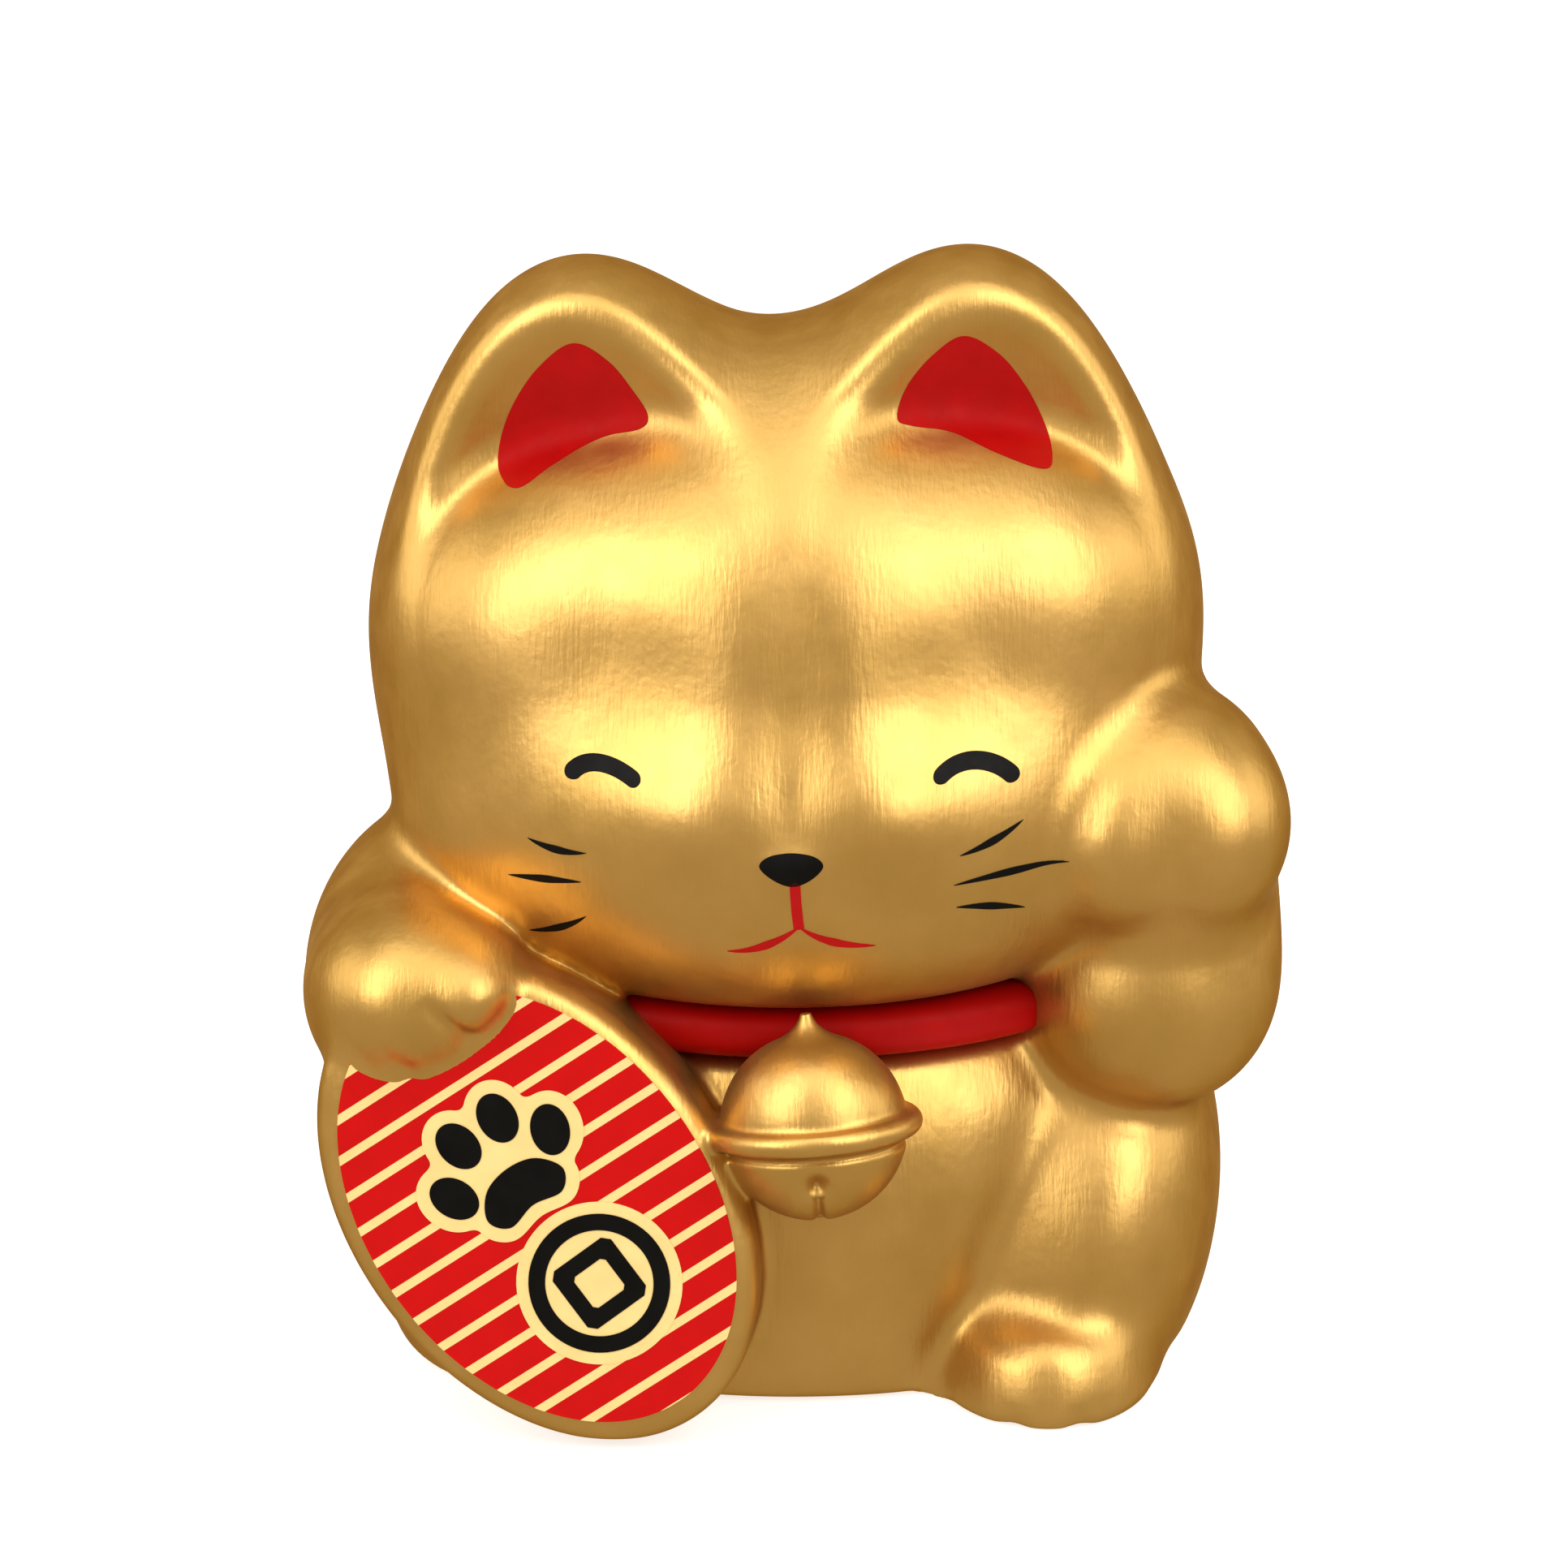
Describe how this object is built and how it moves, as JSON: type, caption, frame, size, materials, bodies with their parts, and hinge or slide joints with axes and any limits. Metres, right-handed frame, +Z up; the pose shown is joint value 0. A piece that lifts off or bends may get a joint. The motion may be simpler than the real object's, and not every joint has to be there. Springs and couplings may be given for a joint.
{
  "type": "beckoning cat figurine",
  "caption": "Squat gold ceramic cat with one paw raised to its cheek, holding an oval charm plate, with a collar bell, a coin slot and a base stopper.",
  "frame": {"origin": "middle of the overall footprint, on the plane the cat stands on", "axes": "+Z up, the cat looks along -Y, +X to the right of someone facing it"},
  "size_m": [0.1076, 0.0964, 0.1221],
  "materials": {
    "gold_head": "satin metallic gold paint brushed over slip-cast ceramic",
    "gold_torso": "satin metallic gold paint brushed over slip-cast ceramic",
    "collar_red": "satin red paint on ceramic",
    "gold_raised_arm": "satin metallic gold paint brushed over slip-cast ceramic",
    "gold_lowered_arm": "satin metallic gold paint brushed over slip-cast ceramic",
    "gold_hind_paw": "satin metallic gold paint brushed over slip-cast ceramic",
    "gold_tail": "satin metallic gold paint brushed over slip-cast ceramic",
    "gold_bell": "satin metallic gold paint brushed over slip-cast ceramic",
    "gold_koban": "satin metallic gold paint brushed over slip-cast ceramic",
    "label_print": "red printed film with cream stripes and two black pictograms",
    "stopper_plastic": "soft translucent off-white plastic"
  },
  "bodies": {
    "figurine": {"head": "gold_head", "torso": "gold_torso", "collar": "collar_red", "raised_arm": "gold_raised_arm", "lowered_arm": "gold_lowered_arm", "hind_paw": "gold_hind_paw", "tail": "gold_tail", "bell": "gold_bell", "koban_plaque": "gold_koban", "koban_label": "label_print"},
    "stopper": {"stopper": "stopper_plastic"}
  },
  "joints": [
    {"name": "stopper_pull", "type": "slide", "parent": "figurine", "child": "stopper", "axis": [0, 0, -1], "range_m": [0, 0.014]}
  ]
}
